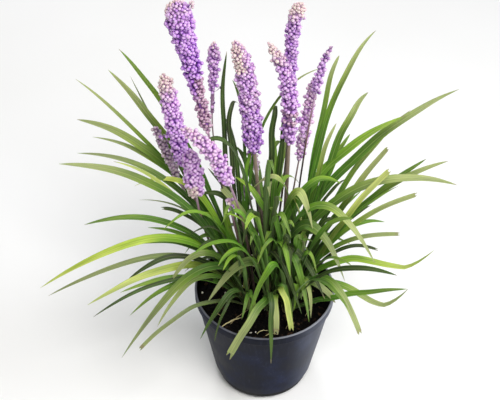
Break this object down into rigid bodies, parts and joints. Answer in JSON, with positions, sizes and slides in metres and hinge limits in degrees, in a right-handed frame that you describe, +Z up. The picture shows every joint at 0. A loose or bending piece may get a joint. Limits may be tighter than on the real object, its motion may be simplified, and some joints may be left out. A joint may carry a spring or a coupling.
{
  "type": "potted lily turf plant",
  "caption": "Lily turf (liriope) with arching strap leaves and lilac flower spikes, growing in a plain round tapered nursery pot.",
  "frame": {"origin": "centre of the flat face that the pot stands on", "axes": "+Z up along the pot's axis, -Y towards the front, +X to the right"},
  "size_m": [0.3672, 0.2802, 0.3964],
  "materials": {
    "pot": "matte moulded black plastic with a soft sheen",
    "soil": "moist dark potting mix, crumbly, with pale specks",
    "leaf": "smooth strap leaves with fine lengthwise veins",
    "stalk": "mauve-brown fleshy stalks",
    "bud": "waxy lilac buds with pale tips"
  },
  "bodies": {
    "root": {"pot": "pot", "soil": "soil", "tuft_back": "leaf", "tuft_east": "leaf", "tuft_middle": "leaf", "tuft_northwest": "leaf", "tuft_southwest": "leaf", "tuft_west": "leaf", "stalk_a": "stalk", "stalk_b": "stalk", "stalk_c": "stalk", "stalk_d": "stalk", "stalk_e": "stalk", "stalk_f": "stalk", "stalk_g": "stalk", "stalk_h": "stalk", "stalk_i": "stalk", "stalk_j": "stalk", "stalk_k": "stalk", "stalk_l": "stalk", "stalk_m": "stalk", "stalk_n": "stalk", "head_a": "bud", "head_b": "bud", "head_c": "bud", "head_d": "bud", "head_e": "bud", "head_f": "bud", "head_g": "bud", "head_h": "bud", "head_i": "bud", "head_j": "bud", "head_k": "bud", "head_l": "bud", "head_m": "bud", "head_n": "bud"}
  },
  "joints": []
}
